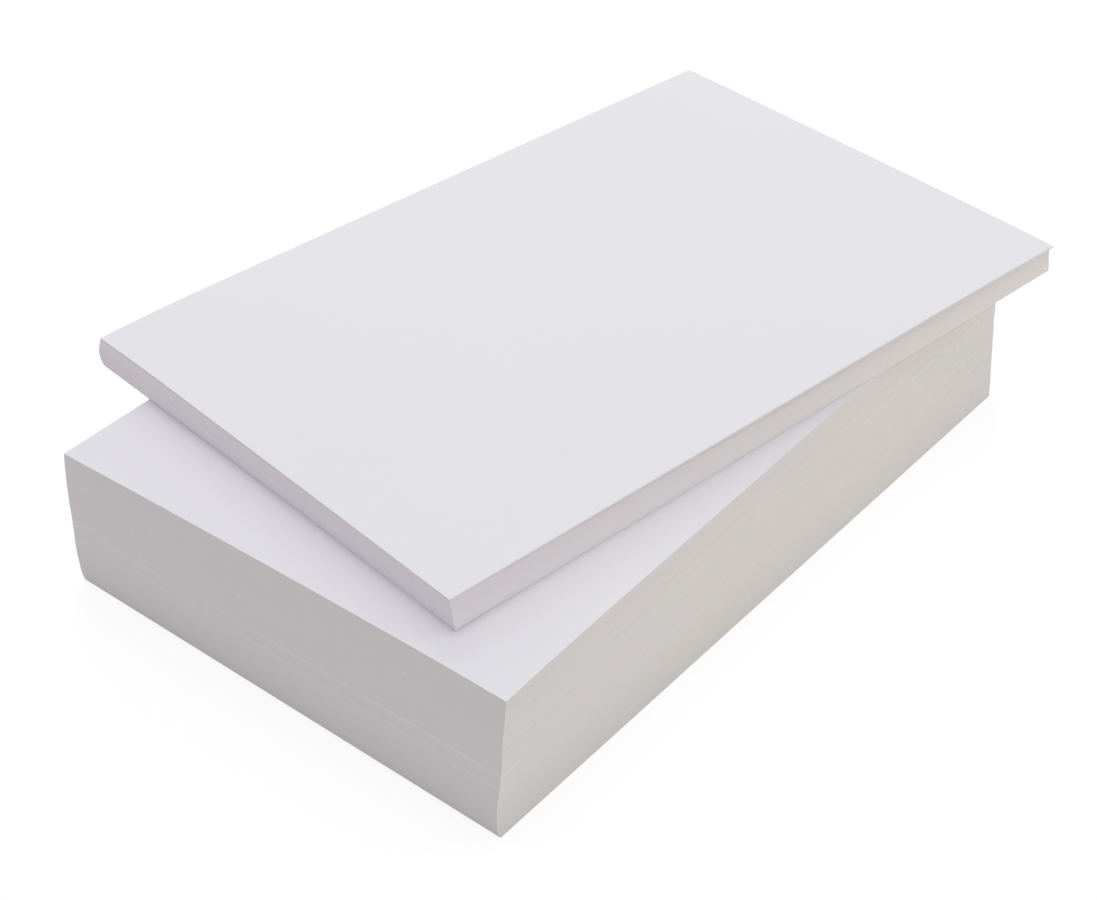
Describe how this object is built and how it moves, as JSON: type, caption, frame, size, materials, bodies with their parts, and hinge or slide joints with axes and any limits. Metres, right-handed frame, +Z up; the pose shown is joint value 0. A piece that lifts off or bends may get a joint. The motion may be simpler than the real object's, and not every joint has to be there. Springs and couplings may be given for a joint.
{
  "type": "ream of paper",
  "caption": "Loose unwrapped ream of white cut paper in two piles, the thin pile turned and overhanging on the thick leaning one.",
  "frame": {"origin": "middle of the underside of the bottom sheet, on the surface that the ream stands on", "axes": "+Z up through the piles, +X along the bottom sheet's long edge, +Y along its short edge; the near corner of the picture is the -X -Y corner"},
  "size_m": [0.248, 0.17, 0.0485],
  "materials": {
    "white_paper": "uncoated matte white copy paper, cut edges slightly warmer"
  },
  "bodies": {
    "root": {"base_block": "white_paper", "slipped_sheets_low": "white_paper", "waist_block": "white_paper", "slipped_sheets_high": "white_paper", "middle_block": "white_paper", "shoulder_block": "white_paper", "turned_block": "white_paper", "top_sheets": "white_paper"}
  },
  "joints": []
}
